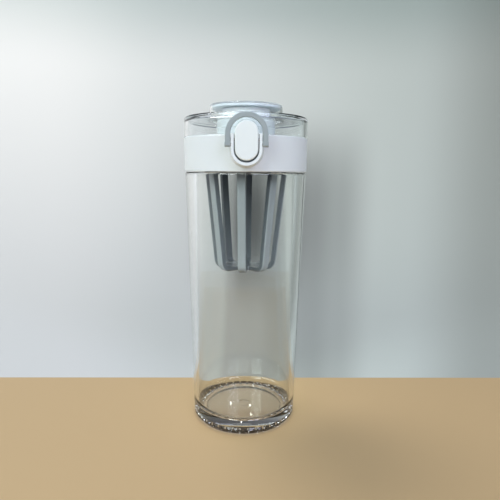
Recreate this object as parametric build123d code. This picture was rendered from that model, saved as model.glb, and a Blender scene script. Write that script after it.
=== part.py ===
from build123d import *
from math import asin, atan2, cos, degrees, pi, radians, sin, sqrt
import os

# Fruit infuser water bottle. Millimetres, +Z up, the front with its button faces -Y.
# The origin is the centre of the foot, on the table.

# Overall sizes: the collar's radius and the body's height drive the rest
collar_radius = 39.0
shoulder_height = 164.2

# Clearances
seat_gap = 0.2
thread_gap = 0.25
bore_gap = 0.6
pin_gap = 0.05
shell_gap = 0.15
button_gap = 0.55
cover_gap = 0.2
rim_gap = 0.1
cut_over = 1.0
gap_step = 0.15

# Screw thread of the neck and the lid, two starts
thread_lead = 9.0
thread_starts = 2
thread_depth = 1.05
thread_root_width = 2.0
thread_crest_width = 1.0
thread_sink = 0.4
neck_thread_drop = 9.8
neck_thread_sweep = 180.0
lid_thread_sweep = 120.0

# Lid base, the threaded cap inside the collar
collar_wall = 2.25
skirt_wall = 1.6
skirt_lift = 0.6
deck_thickness = 1.6
seal_rim_width = 1.2
seal_rim_height = 1.2
collar_inner_radius = collar_radius - collar_wall
skirt_outer_radius = collar_inner_radius - shell_gap
skirt_inner_radius = skirt_outer_radius - skirt_wall
skirt_bottom = shoulder_height + skirt_lift

# Bottle body
shoulder_step = 0.3
body_taper = 4.1
shoulder_round = 1.3
neck_height = 14.2
neck_wall = 1.7
bore_taper = 0.6
foot_height = 2.6
foot_chamfer = 1.8
foot_width = 6.8
foot_recess = 1.8
foot_recess_slope = 0.7
foot_notch_radius = 0.7
foot_notch_height = 3.0
foot_notch_length = 3.2
foot_notch_skin = 0.6
foot_notch_count = 36
gate_radius = 4.2
gate_depth = 0.5
floor_height = 7.0
floor_corner_radius = 6.0
rim_round = 0.5
shoulder_radius = collar_radius - shoulder_step
base_radius = shoulder_radius - body_taper
foot_outer_radius = base_radius - foot_chamfer
foot_inner_radius = foot_outer_radius - foot_width
foot_notch_inner_radius = foot_outer_radius - foot_notch_skin - foot_notch_length
neck_radius = skirt_inner_radius - thread_depth - thread_gap
bore_mouth_radius = neck_radius - neck_wall
bore_floor_radius = bore_mouth_radius - bore_taper
rim_height = shoulder_height + neck_height
neck_thread_start = rim_height - neck_thread_drop

# Seals
gasket_thickness = 1.0
gasket_lap = 0.4
lid_seal_thickness = 1.2
lid_seal_width = 2.6
stem_seal_width = 1.3
stem_seal_thickness = 0.5
flange_radius = neck_radius - rim_round + seat_gap
gasket_inner_radius = bore_mouth_radius - gasket_lap
lid_seal_outer_radius = flange_radius - seat_gap
lid_seal_inner_radius = lid_seal_outer_radius - lid_seal_width

# Infuser basket
flange_thickness = 1.4
basket_ring_wall = 2.0
basket_ring_drop = 13.2
basket_funnel_rise = 7.0
basket_funnel_width = 4.8
basket_taper = 6.8
basket_length = 63.3
basket_corner_radius = 6.4
rib_count = 8
rib_width = 5.1
rib_depth = 3.3
rib_edge_round = 0.9
rib_turn = -6.0
hub_radius = 7.5
hub_thickness = 2.6
basket_ring_radius = bore_mouth_radius - bore_gap
basket_top_radius = basket_ring_radius - basket_funnel_width
basket_low_radius = basket_top_radius - basket_taper
basket_ring_bottom = rim_height - basket_ring_drop
basket_bottom = basket_ring_bottom - basket_length

# Stack of the basket's flange, the seals and the lid's deck on the rim
gasket_bottom = rim_height + seat_gap
flange_bottom = gasket_bottom + gasket_thickness
flange_top = flange_bottom + flange_thickness
lid_seal_bottom = flange_top + seat_gap
deck_bottom = lid_seal_bottom + lid_seal_thickness + seat_gap
deck_top = deck_bottom + deck_thickness

# Collar shell with its front boss
collar_lift = 0.5
collar_flange = 1.0
collar_edge_round = 0.5
boss_depth = 7.2
boss_half_width = 8.5
boss_wall = 1.5
boss_lift = 3.3
boss_flare = 1.5
boss_flare_depth = 4.2
boss_sink = 1.4
pocket_sink = 0.4
pocket_lift = 1.6
collar_bottom = shoulder_height + collar_lift
collar_top = deck_top + collar_flange
boss_front = collar_radius + boss_depth
boss_flare_start = collar_radius + boss_flare_depth
boss_root = collar_radius - boss_sink
boss_bottom = collar_bottom + boss_lift
pocket_radius = boss_half_width - boss_wall
pocket_floor = collar_radius - pocket_sink
pocket_bottom = boss_bottom + pocket_lift

# Flip cover
cover_wall = 2.0
cover_height = 12.4
cover_edge_round = 1.4
crown_step = 4.6
crown_wall = 1.2
crown_height = 7.8
crown_plate = 1.0
crown_edge_round = 0.6
crown_foot_round = 1.0
tab_lap = 0.2
tab_height = 8.6
tab_recess = 3.2
catch_lift = 3.6
catch_thickness = 1.2
catch_proud = 1.2
catch_half_width = 4.0
cover_radius = collar_radius - rim_gap
cover_bottom = collar_top + cover_gap
cover_top = collar_top + cover_height
crown_top = cover_top + crown_height
tab_radius = boss_half_width + tab_lap
tab_top = collar_top + tab_height
tab_front = boss_front - tab_recess
catch_height = collar_top + catch_lift
catch_reach = cover_radius + catch_proud

# Spout and its ring nut
spout_radius = 18.5
spout_wall = 1.6
spout_rise = 11.2
spout_step = 3.0
spout_flange_thickness = 1.8
spout_bead_drop = 4.8
spout_bead_proud = 0.3
spout_bead_round = 0.5
spout_neck_blend = 1.2
stem_step = 0.9
stem_wall = 1.8
stem_gap = 0.1
nut_inset = 0.1
nut_thickness = 2.2
nut_grip_radius = 1.4
nut_grip_count = 8
spout_shoulder = collar_top + spout_rise
spout_bead_height = spout_shoulder - spout_bead_drop
spout_neck_radius = spout_radius - spout_step
spout_lip_bore = spout_neck_radius - spout_wall
stem_radius = spout_neck_radius - stem_step
stem_bore_radius = stem_radius - stem_wall
nut_radius = spout_radius - nut_inset
crown_radius = spout_radius + crown_step

# Cover seal, a soft disc that closes the spout
seal_disc_gap = 0.1
seal_disc_thickness = 1.2
seal_plug_gap = 0.7
seal_plug_height = 1.2
seal_plug_taper = 0.6
seal_disc_radius = crown_radius - crown_wall - seal_disc_gap
seal_disc_top = crown_top - crown_plate
seal_disc_bottom = seal_disc_top - seal_disc_thickness
seal_plug_radius = spout_lip_bore - seal_plug_gap
spout_lip_height = seal_disc_bottom - rim_gap

# Hinge at the back
hinge_barrel_radius = 2.8
hinge_drop = 1.8
hinge_pin_radius = 1.0
knuckle_inner = 5.0
knuckle_outer = 11.9
lug_gap = 0.2
lug_width = 3.2
pin_recess = 0.1
web_sink = 0.3
knuckle_web_rise = 6.2
lug_web_drop = 11.2
lug_heel_shares = (0.8, 0.6)
knuckle_face_share = 0.9
knuckle_low_share = 0.2
hinge_y = collar_radius + hinge_barrel_radius
hinge_z = collar_top - hinge_drop
knuckle_web_top = collar_top + knuckle_web_rise
knuckle_web_inset = sqrt(cover_radius**2 - knuckle_outer**2) - web_sink
lug_web_bottom = collar_top - lug_web_drop
lug_outer = knuckle_outer + lug_gap + lug_width
lug_web_inset = sqrt(collar_radius**2 - lug_outer**2) - web_sink

# Hinge spring, a torsion spring round the pin, and the cover's bar that it lifts
hinge_wire = 0.7
hinge_coil_inset = 0.6
hinge_coil_pitch = 1.25
hinge_coil_turns = 5
hinge_leg_hole_depth = 1.4
hinge_leg_rise = 2.1
spring_bar_gap = 0.3
spring_bar_lift = 1.1
spring_bar_height = 2.9
hinge_coil_radius = hinge_barrel_radius - hinge_coil_inset
hinge_leg_top = hinge_z + hinge_leg_rise
spring_bar_inner = hinge_y + hinge_coil_radius + hinge_wire / 2 + spring_bar_gap
spring_bar_bottom = hinge_z + spring_bar_lift
spring_bar_top = spring_bar_bottom + spring_bar_height

# Release button
button_rise = 7.0
button_lift = 1.0
button_proud = 0.5
button_depth = 4.5
button_edge_round = 0.9
button_pivot_drop = 3.0
button_pin_radius = 0.9
lever_radius = 2.1
lever_floor_gap = 0.9
lever_inset = 0.25
hook_gap = 0.4
hook_thickness = 1.2
hook_lap = 0.5
hook_half_width = 3.4
button_radius = pocket_radius - button_gap
button_top = collar_top + button_rise
button_bottom = pocket_bottom + button_lift
button_low_centre = button_bottom + button_radius
button_high_centre = button_top - button_radius
button_front = boss_front + button_proud
button_back = button_front - button_depth
button_pivot_y = pocket_floor + lever_floor_gap + lever_radius
button_pivot_z = collar_top - button_pivot_drop
lever_half_width = button_radius - lever_inset
hook_reach = catch_reach - hook_lap

# Button spring, a compression spring behind the button's lower half
button_wire = 0.5
button_coil_radius = 2.0
button_spring_drop = 8.6
button_coil_turns = 4
button_spring_gap = 0.8
button_well_gap = 0.55
button_well_depth = 3.0
button_peg_gap = 0.45
button_peg_height = 1.2
button_spring_z = collar_top - button_spring_drop
button_well_radius = button_coil_radius + button_wire / 2 + button_well_gap
button_peg_radius = button_coil_radius - button_wire / 2 - button_peg_gap

# Lock bail with its pivot pins
bail_gap = 0.2
bail_strap = 2.85
bail_front_gap = 0.3
bail_edge_round = 0.5
bail_drop = 7.3
bail_foot_height = 2.6
bail_foot_proud = 0.2
bail_foot_round = 1.2
bail_pin_radius = 0.9
bail_pin_end_gap = 0.3
bail_pin_tip_gap = 0.15
bail_inner = tab_radius + bail_gap
bail_centre = tab_top - bail_inner
bail_back = tab_front + bail_front_gap
bail_front = boss_front
bail_leg_bottom = collar_top - bail_drop
bail_pivot_y = (bail_back + bail_front) / 2
bail_pivot_z = bail_leg_bottom + bail_foot_height / 2


def revolved(outline):
    """Turns a closed outline of (radius, height) points and arcs about the upright axis."""
    return revolve(Plane.XZ * make_face(outline), Axis.Z)


def ring(inner, outer, bottom, top):
    """A plain ring or disc about the upright axis."""
    blank = Pos(0, 0, bottom) * Cylinder(outer, top - bottom, align=(Align.CENTER, Align.CENTER, Align.MIN))
    if inner > 0:
        bore = Pos(0, 0, bottom - cut_over)
        bore *= Cylinder(inner, top - bottom + 2 * cut_over, align=(Align.CENTER, Align.CENTER, Align.MIN))
        blank -= bore
    return blank


def block(x_span, y_span, z_span):
    """A box given by its lowest and highest place along each axis."""
    size = [high - low for low, high in (x_span, y_span, z_span)]
    corner = Pos(x_span[0], y_span[0], z_span[0])
    return corner * Box(*size, align=(Align.MIN, Align.MIN, Align.MIN))


def stadium(radius, low_centre, high_centre, y_near, y_far):
    """An upright oval bar between two heights, from the nearer to the farther place in front."""
    height = high_centre - low_centre + 2 * radius
    middle = (high_centre + low_centre) / 2
    face = SlotOverall(height, 2 * radius, rotation=90)
    front = Plane(origin=(0, -y_near, middle), x_dir=(1, 0, 0), z_dir=(0, -1, 0))
    return extrude(front * face, y_far - y_near)


def cross_pin(radius, x_low, x_high, y, z):
    """A round bar along X."""
    return Pos((x_low + x_high) / 2, y, z) * Rot(0, 90, 0) * Cylinder(radius, x_high - x_low)


def round_boss(radius, y_near, y_far):
    """A round bar on the button spring's line, from the nearer to the farther place in front."""
    plane = Plane(origin=(0, -y_near, button_spring_z), x_dir=(1, 0, 0), z_dir=(0, -1, 0))
    return extrude(plane * Circle(radius), y_far - y_near)


def side_plate(outline, x_low, x_high):
    """A plate with an outline of (y, z) points, between two places along X."""
    plane = Plane(origin=(x_low, 0, 0), x_dir=(0, 1, 0), z_dir=(1, 0, 0))
    return extrude(plane * make_face(Polyline(*outline, close=True)), x_high - x_low)


def thread_ridges(root_radius, crest_radius, start_height, sweep_angle, first_angle):
    """The helical ridges of a thread, one for each start."""
    inward = 1 if crest_radius > root_radius else -1
    rise = thread_lead * sweep_angle / 360
    buried = root_radius - inward * thread_sink
    outline = Polyline(
        (buried, -thread_root_width / 2),
        (root_radius, -thread_root_width / 2),
        (crest_radius, -thread_crest_width / 2),
        (crest_radius, thread_crest_width / 2),
        (root_radius, thread_root_width / 2),
        (buried, thread_root_width / 2),
        close=True,
    )
    path = Helix(thread_lead, rise, root_radius)
    ridge = sweep(Plane.XZ * make_face(outline), path=path, is_frenet=True)
    step = 360 / thread_starts
    return [Pos(0, 0, start_height) * Rot(0, 0, first_angle + step * n) * ridge for n in range(thread_starts)]


def biarc(start, start_tangent, end, end_tangent):
    """Two arcs that leave and arrive along the given tangents and meet smoothly between."""
    span = end - start
    tangents = start_tangent + end_tangent
    spread = 2 * (1 - start_tangent.dot(end_tangent))
    along = span.dot(tangents)
    reach = (sqrt(along**2 + spread * span.dot(span)) - along) / spread
    near = start + start_tangent * reach
    far = end - end_tangent * reach
    meet = (near + far) * 0.5
    return [TangentArc(start, meet, tangent=start_tangent), TangentArc(meet, end, tangent=(far - near).normalized())]


def coil(radius, pitch, turns, quarter_extra=0):
    """A helix about Z as biarcs of a quarter turn, with its end points and end tangents."""
    rise = pitch / (2 * pi)
    count = 4 * turns + quarter_extra

    def place(n):
        angle = n * pi / 2
        return Vector(radius * cos(angle), radius * sin(angle), rise * angle)

    def heading(n):
        angle = n * pi / 2
        slope = 0 if n in (0, count) else rise
        return Vector(-radius * sin(angle), radius * cos(angle), slope).normalized()

    arcs = []
    for n in range(count):
        arcs += biarc(place(n), heading(n), place(n + 1), heading(n + 1))
    return arcs, place(0), heading(0), place(count), heading(count)


def wire_tube(edges, start, heading, wire):
    """One unbroken round tube along the joined edges."""
    plane = Plane(origin=start, z_dir=heading)
    return sweep(plane * Circle(wire / 2), path=Wire(edges))


def print_self_gap(name, edges, wire, coil_radius):
    """Prints the least gap of a wound tube to itself, on points over half a turn apart."""
    points = []
    for edge in edges:
        count = max(2, round(edge.length / gap_step))
        points += [edge.position_at(n / count) for n in range(count)]
    apart = round(pi * coil_radius / gap_step)
    pairs = [(one, other) for n, one in enumerate(points) for other in points[n + apart :]]
    least = min((one - other).length for one, other in pairs) - wire
    print(name, "least gap to itself", round(least, 3), "mm")


def bottle_body():
    """Thick clear body, moulded in one with its foot, floor, shoulder and threaded neck."""
    slope = (shoulder_radius - base_radius) / (shoulder_height - foot_height)
    edge_radius = shoulder_radius - slope * shoulder_round
    corner_centre = bore_floor_radius - floor_corner_radius
    outline = [
        Line((0, foot_recess + gate_depth), (gate_radius, foot_recess + gate_depth)),
        Line((gate_radius, foot_recess + gate_depth), (gate_radius, foot_recess)),
        Line((gate_radius, foot_recess), (foot_inner_radius - foot_recess_slope, foot_recess)),
        Line((foot_inner_radius - foot_recess_slope, foot_recess), (foot_inner_radius, 0)),
        Line((foot_inner_radius, 0), (foot_outer_radius, 0)),
        Line((foot_outer_radius, 0), (base_radius, foot_height)),
        Line((base_radius, foot_height), (edge_radius, shoulder_height - shoulder_round)),
        RadiusArc(
            (edge_radius, shoulder_height - shoulder_round),
            (edge_radius - shoulder_round, shoulder_height),
            -shoulder_round,
        ),
        Line((edge_radius - shoulder_round, shoulder_height), (neck_radius, shoulder_height)),
        Line((neck_radius, shoulder_height), (neck_radius, rim_height - rim_round)),
        RadiusArc((neck_radius, rim_height - rim_round), (neck_radius - rim_round, rim_height), -rim_round),
        Line((neck_radius - rim_round, rim_height), (bore_mouth_radius, rim_height)),
        Line((bore_mouth_radius, rim_height), (bore_floor_radius, floor_height + floor_corner_radius)),
        RadiusArc(
            (bore_floor_radius, floor_height + floor_corner_radius),
            (corner_centre, floor_height),
            floor_corner_radius,
        ),
        Line((corner_centre, floor_height), (0, floor_height)),
        Line((0, floor_height), (0, foot_recess + gate_depth)),
    ]
    body = revolved(outline)
    reach = foot_notch_length
    arch_centre = foot_notch_height - foot_notch_radius
    arch = Rot(0, 90, 0) * Cylinder(foot_notch_radius, reach, align=(Align.CENTER, Align.CENTER, Align.MIN))
    notch = Pos(foot_notch_inner_radius, 0, arch_centre) * arch
    notch_reach = (foot_notch_inner_radius, foot_notch_inner_radius + reach)
    notch += block(notch_reach, (-foot_notch_radius, foot_notch_radius), (-cut_over, arch_centre))
    step = 360 / foot_notch_count
    body -= [Rot(0, 0, step * (n + 0.5)) * notch for n in range(foot_notch_count)]
    crest = neck_radius + thread_depth
    body += thread_ridges(neck_radius, crest, neck_thread_start, neck_thread_sweep, 0)
    return body


def infuser_basket():
    """Grey moulded basket: a flanged funnel ring, upright ribs that turn in below, and a hub."""
    ring_outer = basket_ring_radius
    funnel_top = basket_ring_bottom + basket_funnel_rise
    funnel = [
        (basket_top_radius, basket_ring_bottom),
        (ring_outer, funnel_top),
        (ring_outer, flange_bottom),
        (flange_radius, flange_bottom),
        (flange_radius, flange_top),
        (ring_outer - basket_ring_wall, flange_top),
        (ring_outer - basket_ring_wall, funnel_top + basket_ring_wall / 2),
        (basket_top_radius - basket_ring_wall, basket_ring_bottom),
    ]
    basket = revolved(Polyline(*funnel, close=True))
    lean = (basket_top_radius - basket_low_radius) / (basket_ring_bottom - basket_bottom)
    rib_top = basket_ring_bottom + basket_ring_wall
    top_radius = basket_top_radius + lean * basket_ring_wall
    rib_outline = Polyline(
        (0, basket_bottom),
        (basket_low_radius, basket_bottom),
        (top_radius, rib_top),
        (top_radius - rib_depth, rib_top),
        (basket_low_radius - rib_depth + lean * hub_thickness, basket_bottom + hub_thickness),
        (0, basket_bottom + hub_thickness),
        close=True,
    )
    rib_face = make_face(rib_outline)
    lowest = rib_face.vertices().sort_by(Axis.Y)
    outer_corner = lowest[0:2].sort_by(Axis.X)[-1]
    inner_corner = lowest[2:4].sort_by(Axis.X)[-1]
    rib_face = fillet(outer_corner, basket_corner_radius)
    near_inner = rib_face.vertices().sort_by_distance(inner_corner)[0]
    rib_face = fillet(near_inner, basket_corner_radius - rib_depth)
    rib = extrude(Plane.XZ * rib_face, rib_width / 2, both=True)
    corner = rib.faces().filter_by(GeomType.CYLINDER).sort_by(SortBy.RADIUS)[-1]
    rib = fillet(corner.edges().filter_by(GeomType.CIRCLE), rib_edge_round)
    front = -90 + rib_turn
    step = 360 / rib_count
    basket += [Rot(0, 0, front + step * n) * rib for n in range(rib_count)]
    basket += ring(0, hub_radius, basket_bottom, basket_bottom + hub_thickness)
    return basket


def infuser_gasket():
    """Soft ring under the basket's flange, on the bottle's rim."""
    return ring(gasket_inner_radius, flange_radius, gasket_bottom, flange_bottom)


def lid_seal():
    """Soft face seal between the lid's deck and the basket's flange."""
    return ring(lid_seal_inner_radius, lid_seal_outer_radius, lid_seal_bottom, lid_seal_bottom + lid_seal_thickness)


def stem_seal():
    """Small soft ring round the spout's stem, in a groove of the spout's flange."""
    inner = stem_radius + seat_gap * 2
    middle = deck_top + seat_gap + stem_seal_thickness
    return ring(inner, inner + stem_seal_width, deck_top + seat_gap, middle)


def lid_base():
    """White cap with the inner thread, its deck and the short rim that centres the seal."""
    cap = ring(skirt_inner_radius, skirt_outer_radius, skirt_bottom, deck_bottom)
    cap += ring(stem_radius + stem_gap, skirt_outer_radius, deck_bottom, deck_top)
    rim_outer = lid_seal_inner_radius - seat_gap
    cap += ring(rim_outer - seal_rim_width, rim_outer, deck_bottom - seal_rim_height, deck_bottom)
    crest = skirt_inner_radius - thread_depth
    start = neck_thread_start - thread_lead / thread_starts / 2
    free_angle = (neck_thread_sweep - lid_thread_sweep) / 2
    cap += thread_ridges(skirt_inner_radius, crest, start + thread_lead * free_angle / 360, lid_thread_sweep, free_angle)
    return cap


def front_boss():
    """The oval boss that holds the button, flared where it leaves the collar."""
    low_centre = boss_bottom + boss_half_width
    high_centre = collar_top + boss_half_width
    boss = stadium(boss_half_width, low_centre, high_centre, boss_root, boss_front)
    flare_face = SlotOverall(high_centre - low_centre + 2 * boss_half_width, 2 * boss_half_width, rotation=90)
    wide = boss_half_width + boss_flare
    wide_face = SlotOverall(high_centre - low_centre + 2 * wide, 2 * wide, rotation=90)
    middle = (high_centre + low_centre) / 2
    near = Plane(origin=(0, -boss_flare_start, middle), x_dir=(1, 0, 0), z_dir=(0, -1, 0))
    root = Plane(origin=(0, -boss_root, middle), x_dir=(1, 0, 0), z_dir=(0, -1, 0))
    boss += loft([near * flare_face, root * wide_face])
    above = block((-2 * wide, 2 * wide), (-boss_front - cut_over, 0), (collar_top, 2 * collar_top))
    return boss - above


def hinge_lugs():
    """Two lugs that stand out of the collar's back and carry the hinge pin."""
    lugs = []
    heel_out, heel_down = lug_heel_shares
    for side in (-1, 1):
        ends = sorted((side * (knuckle_outer + lug_gap), side * lug_outer))
        web = side_plate(
            [
                (lug_web_inset, lug_web_bottom),
                (collar_radius - hinge_barrel_radius / 2, lug_web_bottom),
                (hinge_y + hinge_barrel_radius * heel_out, hinge_z - hinge_barrel_radius * heel_down),
                (hinge_y, hinge_z),
                (hinge_y - hinge_barrel_radius, hinge_z),
                (lug_web_inset, hinge_z),
            ],
            *ends,
        )
        lugs += [web, cross_pin(hinge_barrel_radius, *ends, hinge_y, hinge_z)]
    return lugs


def collar_shell():
    """White outer shell of the lid, with its top flange, front boss and hinge lugs."""
    outline = [
        Line((collar_inner_radius, collar_bottom), (collar_radius - collar_edge_round, collar_bottom)),
        RadiusArc(
            (collar_radius - collar_edge_round, collar_bottom),
            (collar_radius, collar_bottom + collar_edge_round),
            -collar_edge_round,
        ),
        Line((collar_radius, collar_bottom + collar_edge_round), (collar_radius, collar_top - collar_edge_round)),
        RadiusArc(
            (collar_radius, collar_top - collar_edge_round),
            (collar_radius - collar_edge_round, collar_top),
            -collar_edge_round,
        ),
        Line((collar_radius - collar_edge_round, collar_top), (lid_seal_outer_radius, collar_top)),
        Line((lid_seal_outer_radius, collar_top), (lid_seal_outer_radius, deck_top)),
        Line((lid_seal_outer_radius, deck_top), (collar_inner_radius, deck_top)),
        Line((collar_inner_radius, deck_top), (collar_inner_radius, collar_bottom)),
    ]
    shell = revolved(outline)
    room = ring(0, collar_inner_radius, collar_bottom - cut_over, deck_top)
    shell += front_boss() - room
    shell += [lug - room for lug in hinge_lugs()]
    pocket_low = pocket_bottom + pocket_radius
    pocket = stadium(pocket_radius, pocket_low, collar_top + pocket_radius, pocket_floor, boss_front + cut_over)
    shell -= pocket
    shell += round_boss(button_peg_radius, pocket_floor - button_peg_height / 2, pocket_floor + button_peg_height)
    shell -= cross_pin(hinge_pin_radius + pin_gap, -2 * knuckle_outer, 2 * knuckle_outer, hinge_y, hinge_z)
    pin_reach = boss_half_width + cut_over
    shell -= cross_pin(button_pin_radius + pin_gap, -pin_reach, pin_reach, -button_pivot_y, button_pivot_z)
    shell -= cross_pin(bail_pin_radius + pin_gap, -pin_reach, pin_reach, -bail_pivot_y, bail_pivot_z)
    leg_hole_radius = hinge_wire / 2 + pin_gap * 2
    hole_end = collar_radius - hinge_leg_hole_depth
    hole = Rot(90, 0, 0) * Cylinder(leg_hole_radius, hinge_y - hole_end)
    hole = Pos(-hinge_coil_length() / 2, (hinge_y + hole_end) / 2, hinge_z - hinge_coil_radius) * hole
    return shell - hole


def spout():
    """White stepped drinking spout with its flange and threaded stem, bored through."""
    bead_centre = spout_bead_height
    flange_top_height = deck_top + spout_flange_thickness
    chamber = spout_radius - spout_wall
    outline = [
        Line((stem_bore_radius, deck_bottom - nut_thickness), (stem_radius, deck_bottom - nut_thickness)),
        Line((stem_radius, deck_bottom - nut_thickness), (stem_radius, deck_top)),
        Line((stem_radius, deck_top), (spout_radius, deck_top)),
        Line((spout_radius, deck_top), (spout_radius, bead_centre - spout_bead_round)),
        ThreePointArc(
            (spout_radius, bead_centre - spout_bead_round),
            (spout_radius + spout_bead_proud, bead_centre),
            (spout_radius, bead_centre + spout_bead_round),
        ),
        Line((spout_radius, bead_centre + spout_bead_round), (spout_radius, spout_shoulder - spout_neck_blend)),
        RadiusArc(
            (spout_radius, spout_shoulder - spout_neck_blend),
            (spout_radius - spout_neck_blend, spout_shoulder),
            -spout_neck_blend,
        ),
        Line((spout_radius - spout_neck_blend, spout_shoulder), (spout_neck_radius, spout_shoulder)),
        Line((spout_neck_radius, spout_shoulder), (spout_neck_radius, spout_lip_height - rim_round)),
        RadiusArc(
            (spout_neck_radius, spout_lip_height - rim_round),
            (spout_neck_radius - rim_round, spout_lip_height),
            -rim_round,
        ),
        Line((spout_neck_radius - rim_round, spout_lip_height), (spout_lip_bore, spout_lip_height)),
        Line((spout_lip_bore, spout_lip_height), (spout_lip_bore, spout_shoulder - spout_wall)),
        Line((spout_lip_bore, spout_shoulder - spout_wall), (chamber, spout_shoulder - spout_wall)),
        Line((chamber, spout_shoulder - spout_wall), (chamber, flange_top_height)),
        Line((chamber, flange_top_height), (stem_bore_radius, flange_top_height)),
        Line((stem_bore_radius, flange_top_height), (stem_bore_radius, deck_bottom - nut_thickness)),
    ]
    body = revolved(outline)
    groove_inner = stem_radius + seat_gap
    groove_outer = groove_inner + stem_seal_width + 2 * seat_gap
    groove_top = deck_top + stem_seal_thickness + 2 * seat_gap
    return body - ring(groove_inner, groove_outer, deck_top - cut_over, groove_top)


def spout_nut():
    """White ring nut that holds the spout's stem from below the deck, with finger scallops."""
    nut = ring(stem_radius + stem_gap, nut_radius, deck_bottom - nut_thickness, deck_bottom)
    scallop = Pos(nut_radius, 0, deck_bottom - nut_thickness / 2)
    scallop *= Cylinder(nut_grip_radius, nut_thickness + 2 * cut_over)
    step = 360 / nut_grip_count
    return nut - [Rot(0, 0, step * n) * scallop for n in range(nut_grip_count)]


def cover_knuckles():
    """The cover's two hinge knuckles, their webs and the bar that the spring pushes on."""
    parts = []
    barrel_low = hinge_z - hinge_barrel_radius * knuckle_low_share
    barrel_face = hinge_barrel_radius * knuckle_face_share
    for side in (-1, 1):
        ends = sorted((side * knuckle_inner, side * knuckle_outer))
        web = side_plate(
            [
                (knuckle_web_inset, cover_bottom + cover_gap),
                (hinge_y - hinge_barrel_radius, cover_bottom + cover_gap),
                (hinge_y - barrel_face, barrel_low),
                (hinge_y + barrel_face, barrel_low),
                (button_front, spring_bar_bottom),
                (button_front, spring_bar_top),
                (collar_radius + cover_wall / 2, knuckle_web_top),
                (knuckle_web_inset, knuckle_web_top),
            ],
            *ends,
        )
        parts += [web, cross_pin(hinge_barrel_radius, *ends, hinge_y, hinge_z)]
    bar_reach = knuckle_inner + cut_over
    bar_span = (-bar_reach, bar_reach)
    parts.append(block(bar_span, (spring_bar_inner, button_front), (spring_bar_bottom, spring_bar_top)))
    return parts


def cover_tab():
    """The clear half-oval frame round the button's upper half, with the catch behind it."""
    centre = tab_top - tab_radius
    frame = stadium(tab_radius, centre - tab_radius, centre, collar_radius - 2 * cover_wall, tab_front)
    opening = stadium(pocket_radius, centre - tab_radius, button_high_centre, cover_radius, tab_front + cut_over)
    frame -= opening
    frame -= ring(0, cover_radius - cover_wall / 2, 0, crown_top)
    below = block((-2 * tab_radius, 2 * tab_radius), (-button_front, 0), (collar_bottom, cover_bottom))
    catch_y = (-catch_reach, -cover_radius + cover_wall / 2)
    catch = block((-catch_half_width, catch_half_width), catch_y, (catch_height, catch_height + catch_thickness))
    return [frame - below, catch]


def flip_cover():
    """Clear flip cover: a shallow cap with a raised crown, a front tab and hinge knuckles."""
    inside = cover_radius - cover_wall
    crown_inside = crown_radius - crown_wall
    plate_under = cover_top - cover_wall
    outline = [
        Line((inside, cover_bottom), (cover_radius, cover_bottom)),
        Line((cover_radius, cover_bottom), (cover_radius, cover_top - cover_edge_round)),
        RadiusArc(
            (cover_radius, cover_top - cover_edge_round),
            (cover_radius - cover_edge_round, cover_top),
            -cover_edge_round,
        ),
        Line((cover_radius - cover_edge_round, cover_top), (crown_radius + crown_foot_round, cover_top)),
        RadiusArc(
            (crown_radius + crown_foot_round, cover_top),
            (crown_radius, cover_top + crown_foot_round),
            crown_foot_round,
        ),
        Line((crown_radius, cover_top + crown_foot_round), (crown_radius, crown_top - crown_edge_round)),
        RadiusArc(
            (crown_radius, crown_top - crown_edge_round),
            (crown_radius - crown_edge_round, crown_top),
            -crown_edge_round,
        ),
        Line((crown_radius - crown_edge_round, crown_top), (0, crown_top)),
        Line((0, crown_top), (0, seal_disc_top)),
        Line((0, seal_disc_top), (crown_inside, seal_disc_top)),
        Line((crown_inside, seal_disc_top), (crown_inside, plate_under)),
        Line((crown_inside, plate_under), (inside - cover_wall / 2, plate_under)),
        RadiusArc((inside - cover_wall / 2, plate_under), (inside, plate_under - cover_wall / 2), -cover_wall / 2),
        Line((inside, plate_under - cover_wall / 2), (inside, cover_bottom)),
    ]
    cover = revolved(outline)
    cover += cover_tab()
    cover += cover_knuckles()
    cover -= cross_pin(hinge_pin_radius + pin_gap, -2 * knuckle_outer, 2 * knuckle_outer, hinge_y, hinge_z)
    return cover


def cover_seal():
    """Grey soft disc under the crown's plate, with the shallow plug that enters the spout."""
    wide = seal_plug_radius
    narrow = seal_plug_radius - seal_plug_taper
    outline = Polyline(
        (0, seal_disc_top),
        (seal_disc_radius, seal_disc_top),
        (seal_disc_radius, seal_disc_bottom),
        (wide, seal_disc_bottom),
        (narrow, seal_disc_bottom - seal_plug_height),
        (0, seal_disc_bottom - seal_plug_height),
        close=True,
    )
    return revolved(outline)


def hinge_pin():
    """Steel pin through the lugs and knuckles."""
    half = lug_outer - pin_recess
    return cross_pin(hinge_pin_radius, -half, half, hinge_y, hinge_z)


def hinge_coil_length():
    """How far apart, along the pin, the two ends of the hinge spring lie."""
    return hinge_coil_pitch * (hinge_coil_turns + 0.25)


def hinge_spring():
    """Steel torsion spring: one leg in a hole of the collar, the other under the cover's bar."""
    arcs, start, heading, end, end_heading = coil(hinge_coil_radius, hinge_coil_pitch, hinge_coil_turns, 1)
    reach_in = hinge_y - (collar_radius - hinge_leg_hole_depth) - pin_gap
    reach_up = hinge_leg_top - hinge_z
    leg_in = Line(start - heading * reach_in, start)
    leg_up = Line(end, end + end_heading * reach_up)
    edges = [leg_in] + arcs + [leg_up]
    print_self_gap("hinge_spring", edges, hinge_wire, hinge_coil_radius)
    spring = wire_tube(edges, start - heading * reach_in, heading, hinge_wire)
    half = hinge_coil_length() / 2
    seat = Plane(origin=(-half, hinge_y, hinge_z), x_dir=(0, 0, -1), z_dir=(1, 0, 0))
    return seat * spring


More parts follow.
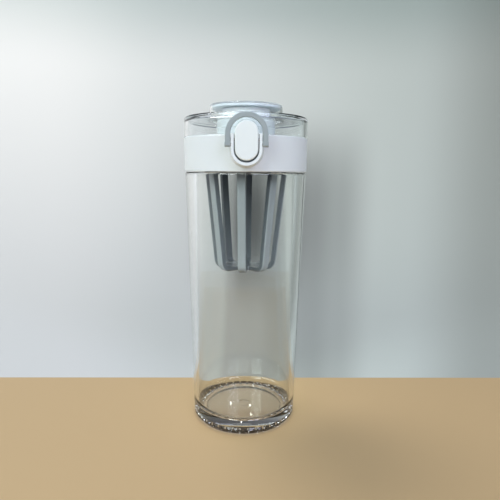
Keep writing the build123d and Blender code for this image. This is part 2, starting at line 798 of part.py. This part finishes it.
def release_button():
    """White oval rocker button with a pivot lever and a latch hook on its back."""
    cap = stadium(button_radius, button_low_centre, button_high_centre, button_back, button_front)
    front_edges = cap.faces().sort_by(Axis.Y)[0].edges()
    cap = fillet(front_edges, button_edge_round)
    lever = cross_pin(lever_radius, -lever_half_width, lever_half_width, -button_pivot_y, button_pivot_z)
    hook_bottom = catch_height + catch_thickness + hook_gap
    hook_y = (-button_back - cut_over, -hook_reach)
    hook = block((-hook_half_width, hook_half_width), hook_y, (hook_bottom, hook_bottom + hook_thickness))
    button = cap + lever + hook
    button -= round_boss(button_well_radius, button_back - cut_over, button_back + button_well_depth)
    reach = lever_half_width + cut_over
    return button - cross_pin(button_pin_radius + pin_gap, -reach, reach, -button_pivot_y, button_pivot_z)


def button_pin():
    """Steel pivot pin of the button, held in the boss."""
    half = boss_half_width - pin_recess
    return cross_pin(button_pin_radius, -half, half, -button_pivot_y, button_pivot_z)


def button_spring():
    """Small compression spring between the pocket's floor and the button's lower half."""
    seat_height = button_wire / 2 + pin_gap
    well_floor = button_back + button_well_depth
    length = well_floor - button_spring_gap - pocket_floor - 2 * seat_height
    pitch = length / button_coil_turns
    arcs, start, heading, end, end_heading = coil(button_coil_radius, pitch, button_coil_turns)
    lead_in = Line(start - heading * button_wire, start)
    lead_out = Line(end, end + end_heading * button_wire)
    edges = [lead_in] + arcs + [lead_out]
    print_self_gap("button_spring", edges, button_wire, button_coil_radius)
    spring = wire_tube(edges, start - heading * button_wire, heading, button_wire)
    seat = Plane(origin=(0, -pocket_floor - seat_height, button_spring_z), x_dir=(1, 0, 0), z_dir=(0, -1, 0))
    return seat * spring


def lock_bail():
    """Grey moulded bail: an arch over the cover's tab, with legs that end at the pivots."""
    outer = bail_inner + bail_strap
    arch = stadium(outer, bail_leg_bottom - outer, bail_centre, bail_back, bail_front)
    arch -= stadium(bail_inner, bail_leg_bottom - outer, bail_centre, bail_back - cut_over, bail_front + cut_over)
    x_wide = (-2 * outer, 2 * outer)
    y_deep = (-bail_front - cut_over, -bail_back + cut_over)
    arch -= block(x_wide, y_deep, (bail_leg_bottom - 4 * outer, bail_pivot_z))
    arch = fillet(arch.edges().filter_by(GeomType.CIRCLE), bail_edge_round)
    for side in (-1, 1):
        foot_x = sorted((side * bail_inner, side * (outer + bail_foot_proud)))
        foot = block(foot_x, (-bail_front, -bail_back), (bail_leg_bottom, bail_leg_bottom + bail_foot_height))
        arch += fillet(foot.edges().filter_by(Axis.X).group_by(Axis.Z)[0], bail_foot_round)
    reach = outer + 2 * bail_foot_proud
    return arch - cross_pin(bail_pin_radius + pin_gap, -reach, reach, -bail_pivot_y, bail_pivot_z)


def bail_pins():
    """Two short steel pivots, pressed into the boss's sides."""
    inner = pocket_radius + bail_pin_end_gap
    outer = bail_inner + bail_strap + bail_foot_proud - bail_pin_tip_gap
    right = cross_pin(bail_pin_radius, inner, outer, -bail_pivot_y, bail_pivot_z)
    left = cross_pin(bail_pin_radius, -outer, -inner, -bail_pivot_y, bail_pivot_z)
    return Compound(children=[left, right])


pieces = {
    "bottle_body": bottle_body,
    "infuser_basket": infuser_basket,
    "infuser_gasket": infuser_gasket,
    "lid_seal": lid_seal,
    "stem_seal": stem_seal,
    "lid_base": lid_base,
    "collar_shell": collar_shell,
    "spout": spout,
    "spout_nut": spout_nut,
    "flip_cover": flip_cover,
    "cover_seal": cover_seal,
    "hinge_pin": hinge_pin,
    "hinge_spring": hinge_spring,
    "release_button": release_button,
    "button_pin": button_pin,
    "button_spring": button_spring,
    "lock_bail": lock_bail,
    "bail_pins": bail_pins,
}

os.makedirs("parts", exist_ok=True)
for name, make in pieces.items():
    export_step(make(), "parts/" + name + ".step")
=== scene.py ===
import math

import bpy
from mathutils import Matrix, Vector

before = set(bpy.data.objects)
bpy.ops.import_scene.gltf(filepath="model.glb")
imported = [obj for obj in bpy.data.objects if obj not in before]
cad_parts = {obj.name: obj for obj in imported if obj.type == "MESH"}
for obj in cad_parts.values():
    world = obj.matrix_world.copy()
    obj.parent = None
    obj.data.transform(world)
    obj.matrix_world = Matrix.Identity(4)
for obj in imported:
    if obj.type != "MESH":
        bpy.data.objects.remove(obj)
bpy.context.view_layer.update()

# The bottle's body: one thick-walled moulding of clear copolyester from a polished tool.
# It stands on the ring of its notched foot, whose slopes are painted dark between the
# notches, a painted shade for the light that the real ones turn away.

mm = 0.001
body_tint = "#F4F5F2"
body_lit = "#EEEFEC"
copolyester_ior = 1.56
polished_roughness = 0.01
body_wave = 26.0 * mm
body_wave_depth = 0.012 * mm
# The colour of the foot's painted shade.
foot_painted_shade = "#1C1C24"
foot_top = 3.3 * mm
foot_inside = 25.1 * mm
foot_blend = 0.3 * mm
foot_rest = (0.05 * mm, 0.2 * mm)
foot_notches = 36
notch_middle_share = 0.5
notch_half_share = 0.08
mix_colour_inputs = (6, 7)
mix_colour_output = 2


def shade(hex_colour):
    """Linear RGBA of an sRGB hex colour."""
    values = [int(hex_colour[i : i + 2], 16) / 255 for i in (1, 3, 5)]
    linear = [v / 12.92 if v <= 0.04045 else ((v + 0.055) / 1.055) ** 2.4 for v in values]
    return (*linear, 1.0)


def add_node(tree, kind, links=(), **settings):
    """Adds one node, sets its sockets and properties by name, and links its inputs."""
    made = tree.nodes.new(kind)
    for key, value in settings.items():
        name = key.replace("_", " ")
        if name in made.inputs:
            made.inputs[name].default_value = value
        else:
            setattr(made, key, value)
    for name, source in dict(links).items():
        tree.links.new(source, made.inputs[name])
    return made


def new_material(name):
    """An empty node material with its output node."""
    material = bpy.data.materials.new(name)
    material.use_nodes = True
    tree = material.node_tree
    tree.nodes.clear()
    return material, tree, tree.nodes.new("ShaderNodeOutputMaterial")


def place_on(tree):
    """The place on the piece, as one vector in metres."""
    return add_node(tree, "ShaderNodeTexCoord").outputs["Object"]


def ramp(tree, value, low, high):
    """A smooth step of a value, from 0 at the low place to 1 at the high one."""
    step = add_node(
        tree,
        "ShaderNodeMapRange",
        {"Value": value},
        interpolation_type="SMOOTHSTEP",
        From_Min=low,
        From_Max=high,
    )
    return step.outputs["Result"]


def reckon(tree, operation, *values):
    """The result of one Math node on sockets and plain numbers."""
    made = add_node(tree, "ShaderNodeMath", operation=operation)
    for n, value in enumerate(values):
        if isinstance(value, (int, float)):
            made.inputs[n].default_value = value
        else:
            tree.links.new(value, made.inputs[n])
    return made.outputs["Value"]


def mixed(tree, share, first, second, way="MIX"):
    """A colour between two, by a share: each is a hex colour or a socket."""
    mix = add_node(
        tree, "ShaderNodeMix", {"Factor": share}, data_type="RGBA", blend_type=way
    )
    for n, colour in zip(mix_colour_inputs, (first, second)):
        if isinstance(colour, str):
            mix.inputs[n].default_value = shade(colour)
        else:
            tree.links.new(colour, mix.inputs[n])
    return mix.outputs[mix_colour_output]


def clear_plastic(name, tint, lit_tint, wave, wave_depth):
    """Clear moulded plastic that lets lamps through, with the waviness of its mould."""
    material, tree, output = new_material(name)
    noise = add_node(
        tree, "ShaderNodeTexNoise", {"Vector": place_on(tree)}, Scale=1 / wave, Detail=1.0
    )
    bump = add_node(
        tree, "ShaderNodeBump", {"Height": noise.outputs["Fac"]}, Distance=wave_depth
    )
    glass = add_node(
        tree,
        "ShaderNodeBsdfPrincipled",
        {"Normal": bump.outputs["Normal"]},
        Base_Color=shade(tint),
        Roughness=polished_roughness,
        IOR=copolyester_ior,
        Transmission_Weight=1.0,
    )
    lit = add_node(tree, "ShaderNodeBsdfTransparent", Color=shade(lit_tint))
    path = add_node(tree, "ShaderNodeLightPath")
    sources = (path.outputs["Is Shadow Ray"], glass.outputs["BSDF"], lit.outputs["BSDF"])
    mix = add_node(tree, "ShaderNodeMixShader", enumerate(sources))
    tree.links.new(mix.outputs["Shader"], output.inputs["Surface"])
    return material


def dress(material, *nodes):
    """Gives CAD nodes, kept as they are, their material."""
    for node in nodes:
        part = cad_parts[node]
        part.data.materials.clear()
        part.data.materials.append(material)


body_plastic = clear_plastic(
    "clear copolyester, polished tool", body_tint, body_lit, body_wave, body_wave_depth
)
tree = body_plastic.node_tree
# The foot's painted shade: dark on its slopes between the notches, above the face it rests on.
spot = add_node(tree, "ShaderNodeSeparateXYZ", {"Vector": place_on(tree)})
squares = [reckon(tree, "POWER", spot.outputs[axis], 2.0) for axis in "XY"]
across = reckon(tree, "SQRT", reckon(tree, "ADD", *squares))
turn = reckon(tree, "ARCTAN2", spot.outputs["Y"], spot.outputs["X"])
cell = reckon(tree, "FRACT", reckon(tree, "MULTIPLY", turn, foot_notches / (2 * math.pi)))
off_notch = reckon(tree, "ABSOLUTE", reckon(tree, "SUBTRACT", cell, notch_middle_share))
between = reckon(tree, "GREATER_THAN", off_notch, notch_half_share)
low = ramp(tree, spot.outputs["Z"], foot_top, foot_top - foot_blend)
outside = ramp(tree, across, foot_inside, foot_inside + foot_blend)
above_rest = ramp(tree, spot.outputs["Z"], *foot_rest)
share = reckon(
    tree,
    "MULTIPLY",
    reckon(tree, "MULTIPLY", low, outside),
    reckon(tree, "MULTIPLY", between, above_rest),
)
tree.links.new(
    mixed(tree, share, body_tint, foot_painted_shade),
    tree.nodes["Principled BSDF"].inputs["Base Color"],
)
dress(body_plastic, "bottle_body")

# The flip cover: the same clear copolyester, moulded thinner, with its crown, tab and
# hinge knuckles in one piece. The crown lets a little more lamp light through.

cover_tint = "#FAFCFC"
cover_lit = "#DDE1E1"
crown_lit = "#FFFFFF"
crown_foot = (198.5 * mm, 200.5 * mm)
cover_wave = 20.0 * mm
cover_wave_depth = 0.008 * mm

cover_plastic = clear_plastic(
    "clear copolyester, cover", cover_tint, cover_lit, cover_wave, cover_wave_depth
)
tree = cover_plastic.node_tree
spot = add_node(tree, "ShaderNodeSeparateXYZ", {"Vector": place_on(tree)})
share = ramp(tree, spot.outputs["Z"], *crown_foot)
tree.links.new(
    mixed(tree, share, cover_lit, crown_lit),
    tree.nodes["Transparent BSDF"].inputs["Color"],
)
dress(cover_plastic, "flip_cover")

# The white lid: collar, threaded cap and nut in white polypropylene from a satin tool,
# pressed and screwed together.

white_colour = "#E9EEEE"
moulding_ior = 1.49
moulding_glow_depth = (2.0 * mm, 1.8 * mm, 1.6 * mm)
gloss_drift = 0.15


def moulded_plastic(name, colour, roughness, grain, grain_depth, flow, soft):
    """Opaque moulded plastic: a fine tool grain, and a gloss that drifts along the flow."""
    material, tree, output = new_material(name)
    place = place_on(tree)
    pits = add_node(
        tree, "ShaderNodeTexNoise", {"Vector": place}, Scale=1 / grain, Detail=3.0
    )
    drift = add_node(
        tree, "ShaderNodeTexNoise", {"Vector": place}, Scale=1 / flow, Detail=1.0
    )
    bump = add_node(
        tree, "ShaderNodeBump", {"Height": pits.outputs["Fac"]}, Distance=grain_depth
    )
    gloss = add_node(
        tree,
        "ShaderNodeMapRange",
        {"Value": drift.outputs["Fac"]},
        To_Min=roughness * (1 - gloss_drift),
        To_Max=roughness * (1 + gloss_drift),
    )
    skin = add_node(
        tree,
        "ShaderNodeBsdfPrincipled",
        {"Normal": bump.outputs["Normal"], "Roughness": gloss.outputs["Result"]},
        Base_Color=shade(colour),
        IOR=moulding_ior,
        Subsurface_Weight=soft,
        Subsurface_Radius=moulding_glow_depth,
    )
    tree.links.new(skin.outputs["BSDF"], output.inputs["Surface"])
    return material


white_lid = moulded_plastic(
    "white polypropylene, satin tool",
    white_colour,
    roughness=0.34,
    grain=0.35 * mm,
    grain_depth=0.004 * mm,
    flow=30.0 * mm,
    soft=0.15,
)
dress(white_lid, "collar_shell", "lid_base", "spout_nut")

# The spout: a smoother moulding of unpigmented polypropylene, milkier than the collar, with
# a painted lightening at its lip against the shade of the seal disc above, held under the
# deck by its nut.

spout_colour = "#D6DADA"
# The lip's painted lightening.
spout_lip_painted_light = "#FCFEFE"
spout_lip = (197.0 * mm, 200.0 * mm)

spout_plastic = moulded_plastic(
    "natural polypropylene, smooth tool",
    spout_colour,
    roughness=0.26,
    grain=0.4 * mm,
    grain_depth=0.002 * mm,
    flow=20.0 * mm,
    soft=0.2,
)
tree = spout_plastic.node_tree
spot = add_node(tree, "ShaderNodeSeparateXYZ", {"Vector": place_on(tree)})
# Painted light: the lip is painted whiter, against the shade of the seal disc above it.
share = ramp(tree, spot.outputs["Z"], *spout_lip)
tree.links.new(
    mixed(tree, share, spout_colour, spout_lip_painted_light),
    tree.nodes["Principled BSDF"].inputs["Base Color"],
)
dress(spout_plastic, "spout")

# The release button: harder white ABS, moulded glossier than the collar, rocking on a
# steel pin.

button_colour = "#ECF1EE"

button_plastic = moulded_plastic(
    "white ABS, fine satin tool",
    button_colour,
    roughness=0.22,
    grain=0.3 * mm,
    grain_depth=0.002 * mm,
    flow=24.0 * mm,
    soft=0.1,
)
dress(button_plastic, "release_button")

# The infuser basket: one grey polypropylene moulding of eight ribs, hub, funnel and
# flange, with a half-gloss skin. Its side and inner faces are darker, for the shade that
# the lid and the thick wall give the real ones.

basket_colour = "#989FA1"
basket_side_colour = "#555D61"
basket_facings = (0.15, 0.75)
level_only = (1.0, 1.0, 0.0)

basket_plastic = moulded_plastic(
    "grey polypropylene, half gloss",
    basket_colour,
    roughness=0.2,
    grain=0.6 * mm,
    grain_depth=0.004 * mm,
    flow=18.0 * mm,
    soft=0.1,
)
tree = basket_plastic.node_tree
coordinates = add_node(tree, "ShaderNodeTexCoord")
level = add_node(
    tree, "ShaderNodeVectorMath", {0: coordinates.outputs["Object"]}, operation="MULTIPLY"
)
level.inputs[1].default_value = level_only
outward = add_node(
    tree, "ShaderNodeVectorMath", {0: level.outputs["Vector"]}, operation="NORMALIZE"
)
facing = add_node(
    tree,
    "ShaderNodeVectorMath",
    {0: coordinates.outputs["Normal"], 1: outward.outputs["Vector"]},
    operation="DOT_PRODUCT",
)
share = ramp(tree, facing.outputs["Value"], *basket_facings)
tree.links.new(
    mixed(tree, share, basket_side_colour, basket_colour),
    tree.nodes["Principled BSDF"].inputs["Base Color"],
)
dress(basket_plastic, "infuser_basket")

# The lock bail: a small grey arch of moulded acetal from a satin tool, swinging on two
# steel pivots.

bail_colour = "#9DA6A7"

bail_plastic = moulded_plastic(
    "grey acetal, satin tool",
    bail_colour,
    roughness=0.32,
    grain=0.4 * mm,
    grain_depth=0.003 * mm,
    flow=14.0 * mm,
    soft=0.05,
)
dress(bail_plastic, "lock_bail")

# The seals: grey silicone in the crown and white silicone under the lid, matte and soft,
# pressed into their seats.

seals = [
    ("grey silicone, matte", "#C4CBCE", 0.48, 0.15, ["cover_seal"]),
    ("white silicone, matte", "#D9DBD8", 0.5, 0.3, ["infuser_gasket", "lid_seal", "stem_seal"]),
]
for name, colour, roughness, soft, nodes in seals:
    silicone = moulded_plastic(
        name, colour, roughness, grain=0.8 * mm, grain_depth=0.006 * mm, flow=12.0 * mm, soft=soft
    )
    dress(silicone, *nodes)

# Pins, pivots and springs: drawn stainless wire, cut or wound, with faint lines along its
# draw.

steel_colour = "#B9B7B2"
steel_roughness = 0.26
steel_drift = 0.3
draw_line = 0.12 * mm
draw_stretch = (0.05, 1.0, 1.0)

steel, tree, output = new_material("stainless steel, drawn wire")
streaks = add_node(
    tree, "ShaderNodeMapping", {"Vector": place_on(tree)}, Scale=draw_stretch
)
lines = add_node(
    tree,
    "ShaderNodeTexNoise",
    {"Vector": streaks.outputs["Vector"]},
    Scale=1 / draw_line,
    Detail=2.0,
)
gloss = add_node(
    tree,
    "ShaderNodeMapRange",
    {"Value": lines.outputs["Fac"]},
    To_Min=steel_roughness * (1 - steel_drift),
    To_Max=steel_roughness * (1 + steel_drift),
)
metal = add_node(
    tree,
    "ShaderNodeBsdfPrincipled",
    {"Roughness": gloss.outputs["Result"]},
    Base_Color=shade(steel_colour),
    Metallic=1.0,
)
tree.links.new(metal.outputs["BSDF"], output.inputs["Surface"])
dress(steel, "hinge_pin", "hinge_spring", "button_pin", "button_spring", "bail_pins")

# The backdrop: a large round plain one, painted matt, with painted light and shade: paler at
# its far sides for bright light, darker towards the right, and darker in front and above for an
# unlit room. One soft darker patch low behind the bottle is a painted soft shadow of the bottle.

backdrop_radius = 2.0
backdrop_bend = 1.6
backdrop_drop = 0.0006
bend_steps = 48
turn_steps = 96
backdrop_matt = 0.9
# Painted shade: a dark front and top, for an unlit room.
backdrop_painted_shade = "#484B52"
# Painted light and shade along the turn: pale far sides, darker towards the right.
backdrop_painted_light_tones = [
    (-56, "#FAFCFF"),
    (-36, "#D2D3D1"),
    (-23, "#D2D3D1"),
    (-9, "#C8CBC9"),
    (20, "#C4CBC5"),
    (30, "#A6ABA4"),
    (36, "#A6ABA4"),
    (56, "#F0FAF4"),
]
tone_reach = 90
# A painted soft shadow of the bottle: deep at the basket's height, fainter lower down.
high_shade_tones = [
    (-14, 1.0),
    (-5, 0.9),
    (-3, 0.55),
    (-0.5, 0.12),
    (2.5, 0.17),
    (6, 0.35),
    (9, 0.48),
    (12, 0.62),
    (17, 1.0),
]
low_shade_tones = [
    (-14, 1.0),
    (-4.5, 0.95),
    (-2.5, 0.72),
    (2, 0.68),
    (6, 0.64),
    (9, 0.62),
    (12, 0.74),
    (17, 1.0),
]
shade_reach = 20
shade_falls = (0.1, 0.34)
shade_heights = (0.42, 0.08)
fan_back = 0.3
fall_top = 0.165
# Painted shade: the backdrop darker high up.
top_painted_shade = "#D6DEDE"
top_heights = (0.5, 0.95)
pale_heights = (1.14, 1.06)
pale_depths = (-0.8, 0.0)


def lathe(name, profile, steps):
    """A smooth open mesh turned from (radius, height) points about the upright axis."""
    points = []
    rings = []
    for radius, height in profile:
        rings.append([len(points) + (n if radius else 0) for n in range(steps)])
        for n in range(steps if radius else 1):
            turn = 2 * math.pi * n / steps
            points.append((radius * math.cos(turn), radius * math.sin(turn), height))
    faces = []
    for low, high in zip(rings, rings[1:]):
        for n in range(steps):
            m = (n + 1) % steps
            faces.append(tuple(dict.fromkeys((low[n], low[m], high[m], high[n]))))
    mesh = bpy.data.meshes.new(name)
    mesh.from_pydata(points, [], faces)
    mesh.shade_smooth()
    return mesh


def put(name, data):
    """Links a new object with this mesh, lamp or camera into the scene."""
    made = bpy.data.objects.new(name, data)
    bpy.context.scene.collection.objects.link(made)
    return made


def stops(tree, value, reach, tones):
    """An eased ramp from -reach to reach, of (place, hex colour or linear grey) pairs."""
    share = add_node(
        tree, "ShaderNodeMapRange", {"Value": value}, From_Min=-reach, From_Max=reach
    )
    band = add_node(tree, "ShaderNodeValToRGB", {"Fac": share.outputs["Result"]})
    elements = band.color_ramp.elements
    band.color_ramp.interpolation = "EASE"
    while len(elements) < len(tones):
        elements.new(0.5)
    for element, (at, tone) in zip(elements, tones):
        element.position = (at + reach) / (2 * reach)
        element.color = shade(tone) if isinstance(tone, str) else (tone, tone, tone, 1.0)
    return band.outputs["Color"]


def paint_matt(tree, output, colour, roughness):
    """A plain matt paint of a colour socket, linked to the material's output."""
    matt = add_node(
        tree, "ShaderNodeBsdfPrincipled", {"Base Color": colour}, Roughness=roughness
    )
    tree.links.new(matt.outputs["BSDF"], output.inputs["Surface"])


profile = [(0.0, 0.0)]
for n in range(bend_steps + 1):
    angle = n / bend_steps * math.pi / 2
    out = backdrop_radius - backdrop_bend * (1 - math.sin(angle))
    profile.append((out, backdrop_bend * (1 - math.cos(angle))))
backdrop = put("backdrop", lathe("backdrop", profile, turn_steps))
backdrop.location = (0, 0, -backdrop_drop)
paper, tree, output = new_material("painted backdrop, matt")
spot = add_node(tree, "ShaderNodeSeparateXYZ", {"Vector": place_on(tree)})
depth = spot.outputs["Y"]
height = spot.outputs["Z"]
away = reckon(tree, "ADD", depth, fan_back)
turn = reckon(tree, "DEGREES", reckon(tree, "ARCTAN2", spot.outputs["X"], away))
fall = reckon(tree, "DIVIDE", reckon(tree, "SUBTRACT", fall_top, height), away)
pale = stops(tree, turn, tone_reach, backdrop_painted_light_tones)
high_shade = stops(tree, turn, shade_reach, high_shade_tones)
low_shade = stops(tree, turn, shade_reach, low_shade_tones)
soft = mixed(tree, ramp(tree, fall, *shade_falls), high_shade, low_shade)
shaded = mixed(tree, ramp(tree, height, *shade_heights), pale, soft, "MULTIPLY")
topped = mixed(tree, ramp(tree, height, *top_heights), shaded, top_painted_shade, "MULTIPLY")
behind = ramp(tree, depth, *pale_depths)
below = ramp(tree, height, *pale_heights)
share = reckon(tree, "MULTIPLY", behind, below)
paint_matt(tree, output, mixed(tree, share, backdrop_painted_shade, topped), backdrop_matt)
backdrop.data.materials.append(paper)

# The table: a plain pale matt board whose back edge lies close behind the bottle, with a
# painted shadow a little darker under it, a film of air below the foot.

table_colour = "#C5A87C"
table_painted_shadow = "#A08A74"
table_shade_radii = (0.036, 0.031)
table_back = 0.047
table_reach = 0.6
table_matt = 0.6
air_film = 0.0001

corners = [
    (-table_reach, -table_reach, -air_film),
    (table_reach, -table_reach, -air_film),
    (table_reach, table_back, -air_film),
    (-table_reach, table_back, -air_film),
]
table_mesh = bpy.data.meshes.new("table")
table_mesh.from_pydata(corners, [], [(0, 1, 2, 3)])
table = put("table", table_mesh)
board, tree, output = new_material("pale board, matt")
across = add_node(tree, "ShaderNodeVectorMath", {0: place_on(tree)}, operation="LENGTH")
# Painted shadow: darker within these radii, under the bottle.
share = ramp(tree, across.outputs["Value"], *table_shade_radii)
paint_matt(tree, output, mixed(tree, share, table_colour, table_painted_shadow), table_matt)
table.data.materials.append(board)

# The studio light: a large soft lamp at the front left, a weaker cool one at the front
# right, a wide fill in front, three tiny ones far behind for the bright spots on the
# body's floor, one for the backdrop, and a dim sky.

sky_colour = "#7C8290"
sky_strength = 1.0
lid_aim = (0.0, 0.0, 0.12)
middle_aim = (0.0, 0.0, 0.14)
floor_aim = (0.0, 0.0, 0.05)
wall_aim = (-0.45, 1.8, 0.4)
# Each lamp's name, place, aim, side in metres, watts and colour.
lamps = [
    ("lamp_left", (-0.65, -0.9, 0.75), lid_aim, 0.6, 8.8, "#F2FDFF"),
    ("lamp_right", (0.55, -0.95, 0.75), lid_aim, 0.6, 6.3, "#E0E4FF"),
    ("lamp_front", (0.1, -1.5, 0.42), middle_aim, 0.9, 6.6, "#F6FCFF"),
    ("lamp_small_1", (-0.085, 1.7, 0.94), floor_aim, 0.011, 0.035, "#FFFFFF"),
    ("lamp_small_2", (0.06, 1.7, 0.95), floor_aim, 0.011, 0.035, "#FFFFFF"),
    ("lamp_small_3", (0.07, 1.7, 1.0), floor_aim, 0.011, 0.03, "#FFFFFF"),
    ("lamp_backdrop", (-0.6, 0.6, 1.7), wall_aim, 0.8, 24.0, "#FFFDFA"),
]
for name, place, aim, side, watts, colour in lamps:
    light = bpy.data.lights.new(name, "AREA")
    light.size = side
    light.energy = watts
    light.color = shade(colour)[:3]
    lamp = put(name, light)
    lamp.location = place
    lamp.rotation_mode = "QUATERNION"
    lamp.rotation_quaternion = (Vector(aim) - Vector(place)).to_track_quat("-Z", "Y")

world = bpy.data.worlds.new("studio")
bpy.context.scene.world = world
world.use_nodes = True
sky = world.node_tree.nodes["Background"]
sky.inputs["Color"].default_value = shade(sky_colour)
sky.inputs["Strength"].default_value = sky_strength
bpy.context.scene.view_settings.view_transform = "Standard"
bpy.context.scene.view_settings.exposure = 0.0

# The photograph's camera, found from the ellipses of the foot, collar and crown.

focal_px = 450.0
frame_px = 500.0
sensor_mm = 36.0
camera_azimuth = math.radians(-0.5)
camera_distance = 0.2953
camera_height = 0.1650
camera_pitch = math.radians(9.92)
camera_yaw = math.radians(0.64)
camera_roll = math.radians(-0.56)

heading = camera_yaw - camera_azimuth
forward = Vector((
    math.sin(heading) * math.cos(camera_pitch),
    math.cos(heading) * math.cos(camera_pitch),
    -math.sin(camera_pitch),
))
right = Vector((math.cos(heading), -math.sin(heading), 0.0))
down = forward.cross(right)
tilted_right = math.cos(camera_roll) * right + math.sin(camera_roll) * down
tilted_down = -math.sin(camera_roll) * right + math.cos(camera_roll) * down
camera_data = bpy.data.cameras.new("camera")
camera_data.sensor_width = sensor_mm
camera_data.lens = sensor_mm * focal_px / frame_px
camera = put("camera", camera_data)
place = Vector((
    camera_distance * math.sin(camera_azimuth),
    -camera_distance * math.cos(camera_azimuth),
    camera_height,
))
turn = Matrix((tilted_right, -tilted_down, -forward)).transposed().to_4x4()
camera.matrix_world = Matrix.Translation(place) @ turn
bpy.context.scene.camera = camera
